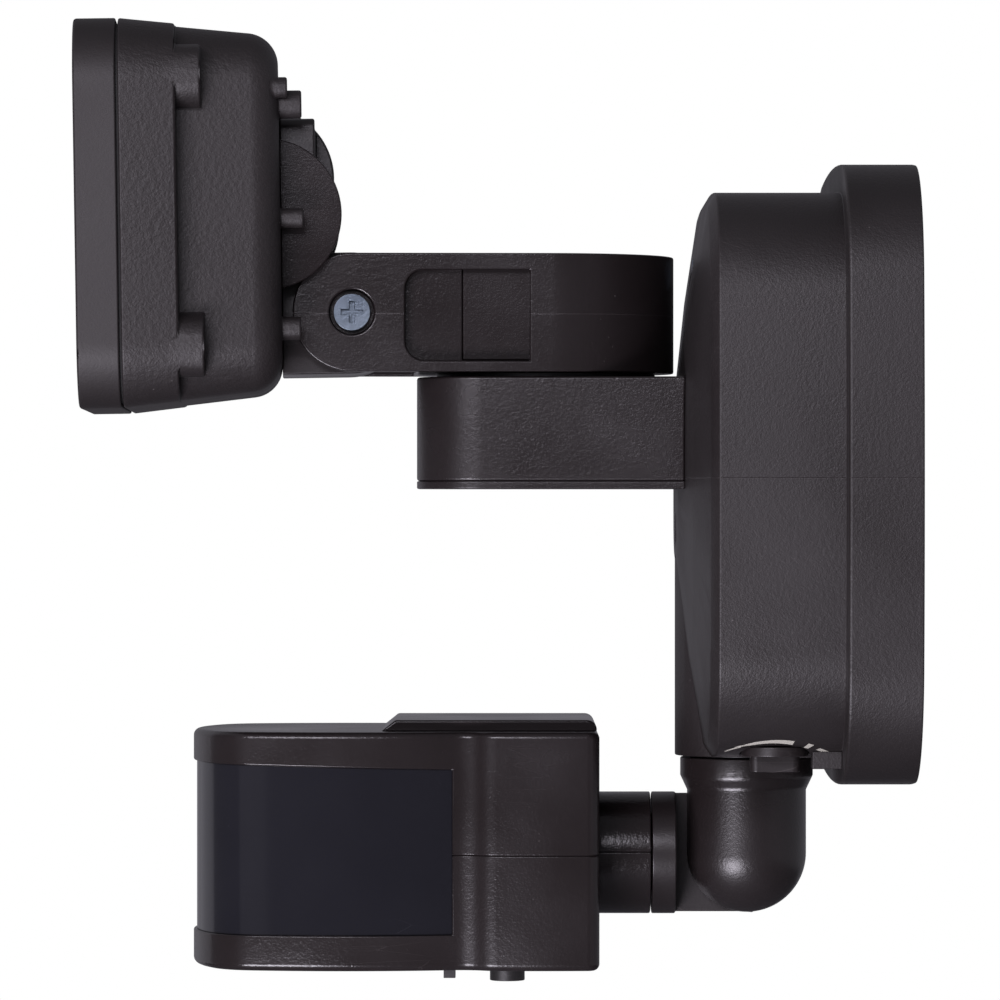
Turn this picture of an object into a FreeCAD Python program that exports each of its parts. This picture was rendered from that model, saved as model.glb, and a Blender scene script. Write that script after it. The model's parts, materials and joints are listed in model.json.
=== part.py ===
import FreeCAD, Part
import math
import os

# Motion sensor security light, in millimetres.
# Origin: centre of the canopy's back face. +X into the wall, +Z up, +Y across.

Vec = FreeCAD.Vector
xAxis = Vec(1, 0, 0)
yAxis = Vec(0, 1, 0)
zAxis = Vec(0, 0, 1)

# ---- shared clearances ----
turnGap = 0.3          # between faces that turn past each other
pinGap = 0.08          # radial, round shafts in their bores
seatGap = 0.1          # pieces set into a recess
boreOver = 0.25        # radial, screws in plain holes
wall = 2.6             # moulded wall

# ---- canopy ----
rimSide = 135.2
rimCorner = 27.0
rimDepth = 15.9
sideBow = 4.5          # degrees the canopy's sides turn from square at each corner
drumSide = 123.2
drumCorner = 24.6
drumDepth = 42.7
shoulderInset = 2.8
shoulderDepth = 44.4
domeInset = 22.0
domeDepth = 47.6
faceDepth = 50.2
faceHalf = 18.0
faceCorner = 8.0
rimFillet = 0.8
gasketThick = 3.0
gasketWide = 5.0
plateThick = 1.8
plateInset = 0.5       # plate edge inside the rim wall
boxScrewSpacing = 88.9
boxScrewR = 2.4
wireHoleR = 11.1
grommetFlange = 2.4
grommetHoleR = 4.5
canopyScrewHeights = (44.0, -12.0)
canopyScrewR = 1.75
canopyScrewHeadR = 3.4
canopyScrewHead = 2.0
canopyScrewSeat = 44.6
bossR = 5.0
boardNear = 9.0
boardFar = 50.0
boardHalfZ = 36.0
boardDepth = 14.0
postR = 3.2
postInset = 6.0
postFoot = 49.0
relayInset = 12.0
relayWide = 15.0
relayHigh = 7.0
relayZ = -28.0
relayTall = 14.0
terminalInset = 10.0
terminalWide = 16.0
terminalHigh = 5.5
terminalZ = 18.0
terminalTall = 9.0
boardCapR = 6.0
boardCapInset = 20.0
boardCapZ = 2.0
tabFront = 22.3
tabY = -40.0
tabHalf = 3.0
tabDrop = 1.3

# ---- lower arm, fixed to the canopy ----
pivotX = -78.8
armHalf = 28.2
armCorner = 14.2       # round corners of the lower arm in plan
lowArmBottom = -3.1
lowArmTop = 21.2
armWall = 2.8
armScrewY = 12.0
armScrewR = 1.75
armScrewHeadR = 3.2
armScrewHead = 1.9
armPadDepth = 5.0
armWireR = 6.0
armCover = 1.7
coverScrewX = -66.0
coverScrewY = 20.0
coverScrewR = 1.4
coverScrewHeadR = 2.6
coverScrewHead = 1.2
coverPostR = 3.4
coverScrewLong = 7.0

# ---- swivel between the arms ----
boltR = 8.0
boltBoreR = 5.6
boltHeadR = 11.5
boltHead = 2.4
swivelNutR = 10.5
swivelNutHigh = 4.0
washerHigh = 1.0
washerInset = 4.1      # washer edge inside the arm's edge
faceGap = 0.1          # between flat faces that turn on each other

# ---- swivel arm ----
swivelR = 28.1
armTurn = 2.0          # the arm is stored turned this far about the pivot, as photographed
armHigh = 25.6
cheekWall = 5.3        # thickness of the arm's two cheeks
forkRoot = -107.6
screwX = -121.8
cheekEndR = 12.8
windowLeft = -110.4
windowRight = -83.4
windowStep = -100.5
windowHigh = 19.7
windowFoot = 2.35      # from the arm's underside up to the window
windowCorner = 4.3
windowDeep = 3.1
coreWall = 2.2

# ---- tilt screw and nut ----
screwR = 2.0
screwHeadR = 3.95
screwHead = 2.1
headWellR = 4.9
headWell = 2.5
nutAcross = 7.0
nutHigh = 3.0
nutWell = 3.4
screwTipIn = 0.6

# ---- lamp head ----
lampLean = 0.9
lampFront = -180.3
bezelDepth = 9.0
bezelGap = 0.5
flangeDepth = 12.0
flangeTaper = 1.3
bodyDepth = 21.9
lampHalfY = 55.0
lampHalfZ = 41.6
lampZ = 56.4
lampCorner = 15.0
bodyStepY = 6.3
bodyStepZ = 0.2
bodyTaper = 2.3
bodyRound = 7.0
glassThick = 3.0
glassInset = 8.0
glassLip = 3.0
glassSet = 1.4
bezelRound = 0.7
flangeWide = 7.0
ledgeWide = 3.0
sideInset = 3.6
backWall = 2.6
gasketInset = 1.2
gasketBand = 4.6
reflectorThick = 1.2
reflectorHalfY = 33.0
reflectorHalfZ = 20.0
heatPlateThick = 2.5
boardThick = 1.6
chipRows = 4
chipColumns = 6
chipPitchY = 11.0
chipPitchZ = 10.0
chipSide = 3.5
chipHigh = 0.7
cornerBossR = 6.8
cornerBossDeep = 5.4
bossInset = 4.6        # bezel screws in from the lamp's side
bossMidInset = 8.0
bossInsetZ = 13.1
bezelScrewR = 1.5
bezelScrewHeadR = 2.8
bezelScrewHead = 1.8
bezelScrewBite = 5.5
nubInset = 18.0
# height, radius and length of each peg on the lamp's back
nearNubs = ((-25.0, 2.5, 4.1), (-1.4, 2.1, 5.0), (22.9, 3.0, 4.9))
farNubs = ((-24.8, 2.5, 4.1), (-0.6, 2.1, 5.0), (19.5, 3.0, 4.9))
pipInset = 14.0
pipZ = 26.3
pipR = 2.2
pipLong = 1.9
discX = -140.0
discZ = 56.2
discR = 16.3
discThick = 3.0
discIn = 28.6
barrelX = -140.7
barrelZ = 64.4
barrelR = 15.6
barrelHalf = 20.0
driverRight = -129.2
driverTop = 76.9
driverBottom = 52.5
driverHalf = 28.2
coverWall = 2.0
coverRound = 2.0
coverHoleZ = 9.0
driverBoardInset = 21.0  # the driver's board in from the lamp's sides
driverBoardHalfZ = 22.0
coilHalf = 7.0
coilHigh = 9.0
coilMidY = -13.0
driverCapR = 5.0
driverCapY = 12.0
driverFootR = 2.5
driverFootHigh = 1.0
driverFootInset = 4.0
tongueR = 13.1

# ---- elbow under the canopy ----
elbowX = -34.6
pillarR = 15.8
pillarTop = -18.0
collarR = 14.6
collarBottom = -66.0
coneBottom = -69.2
elbowR = 13.1
ballZ = -83.1
spigotR = 10.0
spigotBoreR = 6.0
spigotTop = -50.5
elbowNutR = 12.4
elbowNutHigh = 4.0
sealHigh = 0.8
sealInR = 11.0
sealOutR = 12.6
collarGap = 0.4

# ---- sensor knuckle ----
knuckleSplit = 0.3     # the elbow's flat cut, in Y
knuckleFace = 0.6
kneeScrewR = 2.0
kneeHeadR = 3.6
kneeHead = 2.0
kneeWell = 2.4
kneeTip = -9.0
collarRight = -50.4
collarLeft = -55.6
neckR = 13.4
neckPinR = 8.5
neckPinLong = 4.6
neckClipHigh = 1.8
neckClipR = 11.0

# ---- sensor head ----
sensorNose = -156.3
sensorHalf = 29.0        # half the width at the cheeks' widest place
cheekX = -122.0          # where the cheeks are widest
cheekR = 95.0
noseR = 45.0
noseCorner = 13.0
flareFront = -98.8       # where the cheeks end and the flare to the back begins
flareR = 7.0
flareAngle = 33.0        # degrees
flareLine = 0.5
backBow = 4.1            # degrees the back's sides turn at each end
sensorBack = -67.4
neckLength = 11.8        # from the back of the head to the collar
sensorTop = -55.6
sensorBottom = -107.2
sensorSplit = -82.3
sensorWall = 2.2
sensorRearCorner = 3.0
sensorEdge = 1.5
lensTop = -63.8
lensBottom = -99.5
lensEdge = -99.2
lensRise = 1.3           # how much higher the lens is at the nose
lensThick = 1.6
lensSet = 0.7
coverFront = -114.6
coverBack = -67.9
coverHalf = 22.0
coverHigh = 2.4
coverSlope = 3.0         # how far the cover's front face leans back
coverRearR = 2.1
coverEdge = 0.5
pirR = 4.6
pirHigh = 3.6
pirBoardFront = -124.0
pirBoardHalf = 20.0
pirChipHalf = 6.0
pirChipHigh = 2.4
pirChipZ = -78.0
pirChipTall = 8.0
pirTimerR = 4.0
pirTimerHigh = 7.0
pirTimerY = 10.0
pirTimerZ = -90.0
knobR = 3.8
knobHigh = 3.0
knobX = -87.3
knobY = -12.0
knobShaftR = 1.8
knobShaftLong = 6.0
sliderX = -99.9
sliderHalfX = 1.3
sliderHalfY = 2.4
sliderHigh = 2.4
sliderTravel = 3.0
sliderStem = 3.6
sliderFoot = 1.5
shellScrewR = 1.4
shellScrewHeadR = 2.6
shellScrewHead = 1.6
shellScrewWell = 2.4
shellScrewX = -74.0
shellScrewY = 22.5
shellPostR = 3.8
pirMidZ = -80.0

# ---- selector dial under the canopy ----
dialX = -30.2
dialY = -40.0
dialR = 7.15
dialHigh = 2.1
dialBottom = -60.2
gripHigh = 3.4
gripLong = 10.6
gripHalf = 2.6
dialShaftR = 3.0
dialBossR = 9.8
dialBossHigh = 3.4
switchSide = 13.0
switchHigh = 6.5

washerR = swivelR - washerInset
cheekIn = swivelR - cheekWall
recessFloor = swivelR - windowDeep
coreR = recessFloor - seatGap
armZ0 = lowArmTop + washerHigh
armZ1 = armZ0 + armHigh
screwZ = (armZ0 + armZ1) / 2
cornerBossY = lampHalfY - bossInset
cornerBossMid = lampHalfY - bossMidInset
cornerBossZ = lampHalfZ - bossInsetZ
nubY = lampHalfY - nubInset
pipY = lampHalfY - pipInset
rimHalf = rimSide / 2
drumHalf = drumSide / 2
coverMidZ = (driverTop + driverBottom) / 2


def roundedWire(place, a0, a1, b0, b1, radius):
    """A closed rounded rectangle; place(a, b) gives the 3-D point."""
    k = radius * (1 - math.sqrt(0.5))
    corners = [(a0, b0, 1, 1), (a1, b0, -1, 1), (a1, b1, -1, -1), (a0, b1, 1, -1)]
    arcs = []
    for index, (a, b, sa, sb) in enumerate(corners):
        alongB = place(a, b + sb * radius)
        alongA = place(a + sa * radius, b)
        middle = place(a + sa * k, b + sb * k)
        ends = (alongB, alongA) if index % 2 == 0 else (alongA, alongB)
        arcs.append(Part.Arc(ends[0], middle, ends[1]))
    edges = []
    for index, arc in enumerate(arcs):
        edges.append(arc.toShape())
        following = arcs[(index + 1) % 4]
        if arc.EndPoint.distanceToPoint(following.StartPoint) > 1e-6:
            edges.append(Part.LineSegment(arc.EndPoint, following.StartPoint).toShape())
    return Part.Wire(Part.__sortEdges__(edges))


def squareX(x, halfY, halfZ, radius, midZ=0.0):
    return roundedWire(lambda a, b: Vec(x, a, b), -halfY, halfY, midZ - halfZ, midZ + halfZ, radius)


def bowedX(x, half, radius):
    """A square with round corners and slightly bowed sides, all arcs tangent."""
    bow = math.radians(sideBow)
    centre = (half - radius) / (1 + math.tan(bow / 2))
    edges = []
    for turn in range(4):
        spin = math.pi / 2 * turn

        def spot(a, b):
            return Vec(x, a * math.cos(spin) - b * math.sin(spin), a * math.sin(spin) + b * math.cos(spin))

        def onCorner(angle):
            return spot(centre + radius * math.cos(angle), centre + radius * math.sin(angle))

        def belowCorner(angle):
            return spot(centre + radius * math.cos(angle), -centre - radius * math.sin(angle))
        edges.append(Part.Arc(belowCorner(bow), spot(half, 0), onCorner(bow)).toShape())
        edges.append(Part.Arc(onCorner(bow), onCorner(math.pi / 4), onCorner(math.pi / 2 - bow)).toShape())
    return Part.Wire(edges)


def bowedPrism(x0, x1, half, radius):
    return Part.Face(bowedX(x0, half, radius)).extrude(Vec(x1 - x0, 0, 0))


def prismX(x0, x1, halfY, halfZ, radius, midZ=0.0):
    """A rounded rectangle in Y and Z, extruded along X."""
    return Part.Face(squareX(x0, halfY, halfZ, radius, midZ)).extrude(Vec(x1 - x0, 0, 0))


def prismY(y0, y1, x0, x1, z0, z1, radius):
    wire = roundedWire(lambda a, b: Vec(a, y0, b), x0, x1, z0, z1, radius)
    return Part.Face(wire).extrude(Vec(0, y1 - y0, 0))


def prismZ(z0, z1, x0, x1, y0, y1, radius):
    wire = roundedWire(lambda a, b: Vec(a, b, z0), x0, x1, y0, y1, radius)
    return Part.Face(wire).extrude(Vec(0, 0, z1 - z0))


def box(x0, x1, y0, y1, z0, z1):
    return Part.makeBox(x1 - x0, y1 - y0, z1 - z0, Vec(x0, y0, z0))


def rodX(x0, x1, y, z, radius):
    return Part.makeCylinder(radius, x1 - x0, Vec(x0, y, z), xAxis)


def rodY(y0, y1, x, z, radius):
    return Part.makeCylinder(radius, y1 - y0, Vec(x, y0, z), yAxis)


def rodZ(z0, z1, x, y, radius):
    return Part.makeCylinder(radius, z1 - z0, Vec(x, y, z0), zAxis)


def hexY(y0, y1, x, z, across):
    corner = across / math.sqrt(3)
    angles = [math.radians(60 * n) for n in range(7)]
    points = [Vec(x + corner * math.cos(a), y0, z + corner * math.sin(a)) for a in angles]
    return Part.Face(Part.makePolygon(points)).extrude(Vec(0, y1 - y0, 0))


def hexZ(z0, z1, x, y, across):
    corner = across / math.sqrt(3)
    angles = [math.radians(60 * n) for n in range(7)]
    points = [Vec(x + corner * math.cos(a), y + corner * math.sin(a), z0) for a in angles]
    return Part.Face(Part.makePolygon(points)).extrude(Vec(0, 0, z1 - z0))


def fuse(*solids):
    whole = solids[0]
    for solid in solids[1:]:
        whole = whole.fuse(solid)
    return whole.removeSplitter()


def cut(solid, *tools):
    for tool in tools:
        solid = solid.cut(tool)
    return solid


def mirrored(shape):
    """The shape's twin across the mid-plane Y = 0."""
    return shape.mirror(Vec(0, 0, 0), yAxis)


def save(name, shape):
    shape.exportStep("parts/" + name + ".step")


def panSeat(x, y, z, direction, radius, headR, head, length):
    """A pan-head screw: its head's underside sits at (x, y, z); direction points to the tip."""
    axis = Vec(*direction)
    shank = Part.makeCylinder(radius, length, Vec(x, y, z), axis)
    top = Part.makeCylinder(headR, head, Vec(x, y, z) - axis * head, axis)
    slotWide = headR * 0.3
    slotLong = headR * 1.2
    slotDeep = head * 0.45
    cross = None
    for turn in (0, 90):
        bar = Part.makeBox(slotLong, slotWide, slotDeep, Vec(-slotLong / 2, -slotWide / 2, 0))
        bar.rotate(Vec(0, 0, 0), zAxis, turn)
        cross = bar if cross is None else cross.fuse(bar)
    spin = FreeCAD.Rotation(zAxis, axis)
    cross.Placement = FreeCAD.Placement(Vec(x, y, z) - axis * (head + 0.001), spin)
    return shank.fuse(top).cut(cross).removeSplitter()


# ---- canopy ----
def domeLoft(inset, back, nose):
    """The canopy's front, from the drum's edge to its small flat face."""
    half = drumHalf - inset
    corner = drumCorner - inset
    ring = drumHalf - domeInset
    sections = [
        bowedX(-(drumDepth - back), half, corner),
        bowedX(-(shoulderDepth - nose), half - shoulderInset, corner - 1),
        bowedX(-(domeDepth - nose), ring, corner - 6),
        bowedX(-(faceDepth - nose), faceHalf, faceCorner),
    ]
    return Part.makeLoft(sections, True, True)


def pillarBlock(radius, bottom, top):
    """The half-round pillar down the canopy's front that carries the elbow."""
    back = box(elbowX, elbowX + radius, -radius, radius, bottom, top)
    return rodZ(bottom, top, elbowX, 0, radius).fuse(back)


def canopyOuter():
    rim = bowedPrism(-rimDepth, 0, rimHalf, rimCorner)
    frontEdges = [e for e in rim.Edges if abs(e.BoundBox.XMax + rimDepth) < 1e-6]
    rim = rim.makeFillet(rimFillet, frontEdges)
    drum = bowedPrism(-drumDepth, -rimDepth + 2 * rimFillet, drumHalf, drumCorner)
    return fuse(rim, drum, domeLoft(0, 0, 0), pillarBlock(pillarR, -drumHalf, pillarTop))


def canopyCavity():
    rim = bowedPrism(-(rimDepth - wall), 0, rimHalf - wall, rimCorner - wall)
    half = drumHalf - wall
    drum = bowedPrism(-(drumDepth - wall), -(rimDepth - wall), half, drumCorner - wall)
    pillar = pillarBlock(pillarR - wall, -half, pillarTop - wall)
    return fuse(rim, drum, domeLoft(wall, wall, wall), pillar)


def boardPosts(x0, x1, radius):
    ys = (boardNear + postInset, boardFar - postInset)
    zs = (-boardHalfZ + postInset, boardHalfZ - postInset)
    return [rodX(x0, x1, y, z, radius) for y in ys for z in zs]


armMidZ = (lowArmBottom + lowArmTop) / 2
plateFront = gasketThick + plateThick
dialPocketTop = dialBottom + dialHigh + faceGap
elbowFloor = -(drumHalf - wall)


def canopyShell():
    outer = canopyOuter()
    bosses = [rodX(-postFoot, -plateFront, 0, z, bossR) for z in canopyScrewHeights]
    posts = boardPosts(-postFoot, -boardDepth, postR)
    dialBoss = rodZ(dialPocketTop - 1, dialPocketTop + dialBossHigh, dialX, dialY, dialBossR)
    inside = fuse(*bosses, *posts, dialBoss).common(outer)
    shell = cut(outer, canopyCavity()).fuse(inside)
    for z in canopyScrewHeights:
        shell = shell.cut(rodX(-faceDepth - 5, -canopyScrewSeat, 0, z, canopyScrewHeadR + boreOver))
        shell = shell.cut(rodX(-faceDepth, 0, 0, z, canopyScrewR + boreOver))
    for y in (-armScrewY, armScrewY):
        shell = shell.cut(rodX(-faceDepth - 1, -30, y, armMidZ, armScrewR + boreOver))
    shell = cut(
        shell,
        rodX(-faceDepth - 1, -30, 0, armMidZ, armWireR),
        rodZ(-drumHalf - 1, elbowFloor + 1, elbowX, 0, spigotR + pinGap),
        rodZ(-drumHalf - 5, dialPocketTop, dialX, dialY, dialR + turnGap),
        rodZ(dialPocketTop - 1, -40, dialX, dialY, dialShaftR + pinGap),
    )
    return shell.removeSplitter()


def backPlate():
    half = rimHalf - wall - plateInset
    plate = bowedPrism(-plateFront, -gasketThick, half, rimCorner - wall - plateInset)
    plate = plate.cut(rodX(-plateFront - 1, 0, 0, 0, wireHoleR))
    for y in (-boxScrewSpacing / 2, boxScrewSpacing / 2):
        plate = plate.cut(rodX(-plateFront - 1, 0, y, 0, boxScrewR))
    for z in canopyScrewHeights:
        plate = plate.cut(rodX(-plateFront - 1, 0, 0, z, canopyScrewR))
    return plate


def wallGasket():
    half = rimHalf - wall - plateInset
    corner = rimCorner - wall - plateInset
    ring = bowedPrism(-gasketThick, 0, half, corner)
    hole = bowedPrism(-gasketThick, 0, half - gasketWide, corner - gasketWide)
    return ring.cut(hole)


def wireGrommet():
    body = rodX(-plateFront, -gasketThick, 0, 0, wireHoleR)
    front = rodX(-plateFront - grommetFlange, -plateFront, 0, 0, wireHoleR + grommetFlange)
    back = rodX(-gasketThick, -gasketThick + grommetFlange / 2, 0, 0, wireHoleR + grommetFlange)
    whole = fuse(body, front, back)
    # the flange leaves room for the lower canopy screw
    low = rodX(-plateFront - 5, 0, 0, canopyScrewHeights[1], bossR + seatGap)
    return cut(whole, rodX(-plateFront - 5, 0, 0, 0, grommetHoleR), low)


def canopyScrews():
    reach = canopyScrewSeat - gasketThick
    return Part.Compound([
        panSeat(-canopyScrewSeat, 0, z, (1, 0, 0), canopyScrewR, canopyScrewHeadR, canopyScrewHead, reach)
        for z in canopyScrewHeights])


def controlBoard():
    board = box(-boardDepth, -boardDepth + boardThick, boardNear, boardFar, -boardHalfZ, boardHalfZ)
    back = -boardDepth + boardThick
    y0 = boardNear + relayInset
    relay = box(back, back + relayHigh, y0, y0 + relayWide, relayZ, relayZ + relayTall)
    y1 = boardNear + terminalInset
    terminal = box(back, back + terminalHigh, y1, y1 + terminalWide, terminalZ, terminalZ + terminalTall)
    capacitor = rodX(back, back + relayHigh, boardNear + boardCapInset, boardCapZ, boardCapR)
    return fuse(board, relay, terminal, capacitor)


def selectorSwitch():
    low = dialPocketTop + dialBossHigh
    half = switchSide / 2
    body = box(dialX - half, dialX + half, dialY - half, dialY + half, low, low + switchHigh)
    return body.cut(rodZ(low - 1, low + switchHigh - 1, dialX, dialY, dialShaftR + pinGap))


def catchTab():
    tab = box(-tabFront, -rimDepth, tabY - tabHalf, tabY + tabHalf, -drumHalf - tabDrop, -drumHalf + 3)
    return tab.cut(canopyOuter())


def dialKnob():
    disc = rodZ(dialBottom, dialBottom + dialHigh, dialX, dialY, dialR)
    grip = prismZ(dialBottom - gripHigh, dialBottom, dialX - gripLong / 2, dialX + gripLong / 2,
                  dialY - gripHalf, dialY + gripHalf, gripHalf * 0.6)
    shaftTop = dialPocketTop + dialBossHigh + switchHigh - 1.5
    shaft = rodZ(dialBottom + dialHigh, shaftTop, dialX, dialY, dialShaftR)
    return fuse(disc, grip, shaft)


# ---- lower arm ----
def armBlock(inset, z0, z1, right):
    """The arm's plan: a bar with two round corners at its free end."""
    half = armHalf - inset
    bar = prismZ(z0, z1, pivotX - half, pivotX + half, -half, half, armCorner - inset)
    return fuse(bar, box(pivotX, right, -half, half, z0, z1))


def lowArm():
    block = armBlock(0, lowArmBottom + armCover, lowArmTop, -drumDepth)
    hollow = armBlock(armWall, lowArmBottom, lowArmTop - armWall, -(faceDepth + armPadDepth))
    block = cut(block, canopyOuter(), hollow)
    posts = [rodZ(lowArmBottom + armCover, lowArmTop - armWall / 2, coverScrewX, y, coverPostR)
             for y in (-coverScrewY, coverScrewY)]
    block = fuse(block, *posts)
    for y in (-coverScrewY, coverScrewY):
        block = block.cut(rodZ(lowArmBottom, lowArmBottom + coverScrewHead + coverScrewLong + faceGap,
                               coverScrewX, y, coverScrewR))
    for y in (-armScrewY, armScrewY):
        block = block.cut(rodX(-faceDepth - 5, -30, y, armMidZ, armScrewR))
    return cut(
        block,
        rodX(-faceDepth - armPadDepth - 1, -30, 0, armMidZ, armWireR),
        rodZ(lowArmTop - armWall - 1, lowArmTop + 1, pivotX, 0, boltR + pinGap),
    )


def lowArmCover():
    plate = armBlock(0, lowArmBottom, lowArmBottom + armCover, -drumDepth).cut(canopyOuter())
    for y in (-coverScrewY, coverScrewY):
        plate = plate.cut(rodZ(lowArmBottom - 1, lowArmBottom + armCover, coverScrewX, y, coverScrewR))
        head = rodZ(lowArmBottom - 1, lowArmBottom + coverScrewHead, coverScrewX, y, coverScrewHeadR)
        plate = plate.cut(head)
    return plate


def coverScrews():
    z = lowArmBottom + coverScrewHead
    return Part.Compound([
        panSeat(coverScrewX, y, z, (0, 0, 1), coverScrewR, coverScrewHeadR, coverScrewHead, coverScrewLong)
        for y in (-coverScrewY, coverScrewY)])


def armScrews():
    seat = -(faceDepth - wall)
    return Part.Compound([
        panSeat(seat, y, armMidZ, (-1, 0, 0), armScrewR, armScrewHeadR, armScrewHead, wall + armPadDepth - 1)
        for y in (-armScrewY, armScrewY)])


# ---- swivel between the arms ----
swivelFloor = wall
nutBase = armZ0 + swivelFloor + faceGap


def swivelBolt():
    head = rodZ(lowArmTop - armWall - boltHead, lowArmTop - armWall, pivotX, 0, boltHeadR)
    shank = rodZ(lowArmTop - armWall, nutBase + swivelNutHigh + 1, pivotX, 0, boltR)
    return cut(fuse(head, shank), rodZ(0, armZ1, pivotX, 0, boltBoreR))


def swivelNut():
    nut = hexZ(nutBase, nutBase + swivelNutHigh, pivotX, 0, swivelNutR * math.sqrt(3))
    return nut.cut(rodZ(nutBase - 1, nutBase + swivelNutHigh + 1, pivotX, 0, boltR))


def swivelWasher():
    ring = rodZ(lowArmTop, armZ0 - faceGap, pivotX, 0, washerR)
    return ring.cut(rodZ(lowArmTop - 1, armZ0, pivotX, 0, boltR + seatGap))


# ---- swivel arm ----
def swivelArm():
    disc = rodZ(armZ0, armZ1, pivotX, 0, swivelR)
    bar = box(screwX, pivotX, -swivelR, swivelR, armZ0, armZ1)
    ends = rodY(-swivelR, swivelR, screwX, screwZ, cheekEndR)
    block = fuse(disc, bar, ends)
    z0 = armZ0 + wall
    z1 = armZ1 - wall
    fork = box(screwX - 2 * cheekEndR, forkRoot, -cheekIn, cheekIn, armZ0 - 1, armZ1 + 1)
    narrow = box(forkRoot + wall, windowStep + wall, -cheekIn + 1, cheekIn - 1, z0, z1)
    wide = fuse(rodZ(z0, z1, pivotX, 0, recessFloor),
                box(windowStep + wall, pivotX, -recessFloor, recessFloor, z0, z1))
    block = cut(block, fork, narrow, wide)
    w0 = armZ0 + windowFoot
    w1 = w0 + windowHigh
    recess = fuse(prismY(-swivelR - 1, -recessFloor, windowLeft, windowStep, w0, w1, windowCorner),
                  box((windowLeft + windowStep) / 2, windowStep + wall, -swivelR - 1, -recessFloor, w0, w1))
    opening = box(windowStep + wall, windowRight, -swivelR - 1, -recessFloor + 1, w0, w1)
    block = cut(block, recess, opening, mirrored(recess), mirrored(opening))
    return cut(
        block,
        rodX(forkRoot - 1, forkRoot + wall + 1, 0, screwZ, boltBoreR),
        rodZ(armZ0 - 1, z0 + 1, pivotX, 0, boltR + pinGap),
        rodY(-swivelR - 1, swivelR + 1, screwX, screwZ, screwR + pinGap),
        rodY(-swivelR - 1, -swivelR + headWell, screwX, screwZ, headWellR),
        hexY(swivelR - nutWell, swivelR + 1, screwX, screwZ, nutAcross + 2 * seatGap),
    )


def armCore():
    z0 = armZ0 + wall
    z1 = armZ1 - wall
    ring = rodZ(z0, z1, pivotX, 0, coreR)
    ring = ring.cut(rodZ(z0, z1, pivotX, 0, coreR - coreWall))
    # flat sides that close the arm's windows
    side = box(windowStep + wall + seatGap, pivotX, -coreR, -coreR + coreWall, z0, z1)
    return fuse(ring, side, mirrored(side))


def tiltScrew():
    seat = -swivelR + headWell
    reach = 2 * swivelR - headWell - screwTipIn
    return panSeat(screwX, seat, screwZ, (0, 1, 0), screwR, screwHeadR, screwHead, reach)


def tiltNut():
    y0 = swivelR - nutWell
    return hexY(y0, y0 + nutHigh, screwX, screwZ, nutAcross).cut(
        rodY(y0 - 1, y0 + nutHigh + 1, screwX, screwZ, screwR))


# ---- lamp head, drawn upright and then leaned about the tilt screw ----
bezelBack = lampFront + bezelDepth
flangeFront = bezelBack + bezelGap
flangeBack = flangeFront + flangeDepth
bodyBack = flangeBack + bodyDepth
glassFront = lampFront + glassSet
glassBack = glassFront + glassThick
glassHalfY = lampHalfY - glassInset
glassHalfZ = lampHalfZ - glassInset
plateBack = flangeBack - 2.0
heatPlateFront = plateBack - heatPlateThick
ledBoardFront = heatPlateFront - boardThick
coverHoleY = driverHalf - 6.0


def lean(shape):
    shape.rotate(Vec(screwX, 0, screwZ), yAxis, -lampLean)
    return shape


def frameX(x0, x1, halfY, halfZ, corner):
    return prismX(x0, x1, halfY, halfZ, corner, lampZ)


def taperX(x0, y0, z0, r0, x1, y1, z1, r1):
    ends = [squareX(x0, y0, z0, r0, lampZ), squareX(x1, y1, z1, r1, lampZ)]
    return Part.makeLoft(ends, True, True)


def cornerSpots():
    return [(y, lampZ + z) for y in (-cornerBossY, cornerBossY) for z in (-cornerBossZ, cornerBossZ)]


def nubSpots():
    near = [(-nubY, lampZ + z, radius, length) for z, radius, length in nearNubs]
    far = [(nubY, lampZ + z, radius, length) for z, radius, length in farNubs]
    return near + far


def housingOuter():
    y0 = lampHalfY - flangeTaper
    z0 = lampHalfZ - flangeTaper
    flange = taperX(flangeFront, lampHalfY, lampHalfZ, lampCorner,
                    flangeBack, y0, z0, lampCorner - flangeTaper)
    y1 = y0 - bodyStepY
    z1 = z0 - bodyStepZ
    corner = lampCorner - flangeTaper - bodyStepZ
    body = taperX(flangeBack, y1, z1, corner, bodyBack, y1 - bodyTaper, z1 - bodyTaper, corner - bodyTaper)
    rear = [e for e in body.Edges if e.BoundBox.XMin > bodyBack - 1e-6]
    body = body.makeFillet(bodyRound, rear)
    trim = frameX(flangeBack, flangeBack + cornerBossDeep, y0, z0, lampCorner - flangeTaper)
    bosses = [rodX(flangeBack, flangeBack + cornerBossDeep, y, lampZ + z, cornerBossR).common(trim)
              for y in (-cornerBossMid, cornerBossMid) for z in (-cornerBossZ, cornerBossZ)]
    nubs = [rodX(bodyBack - 4, bodyBack + length, y, z, radius) for y, z, radius, length in nubSpots()]
    pip = rodX(bodyBack - 4, bodyBack + pipLong, -pipY, lampZ + pipZ, pipR)
    return fuse(flange, body, *bosses, *nubs, pip)


def lampHousing():
    front = frameX(flangeFront - 1, plateBack, lampHalfY - flangeWide, lampHalfZ - flangeWide,
                   lampCorner - flangeWide)
    deep = flangeWide + ledgeWide
    back = frameX(plateBack - 1, bodyBack - backWall, lampHalfY - deep - sideInset, lampHalfZ - deep,
                  lampCorner - deep + 2)
    hole = prismX(bodyBack - backWall - 1, bodyBack + 1, coverHoleY, coverHoleZ, 3, coverMidZ)
    block = cut(housingOuter(), front, back, hole)
    for y, z in cornerSpots():
        bossEnd = flangeBack + cornerBossDeep
        block = block.cut(rodX(flangeFront - 1, bossEnd + 1, y, z, bezelScrewR + boreOver))
        well = bossEnd - bezelScrewHead
        block = block.cut(rodX(well, well + bezelScrewHead + 2, y, z, bezelScrewHeadR + boreOver))
    return lean(block)


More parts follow.
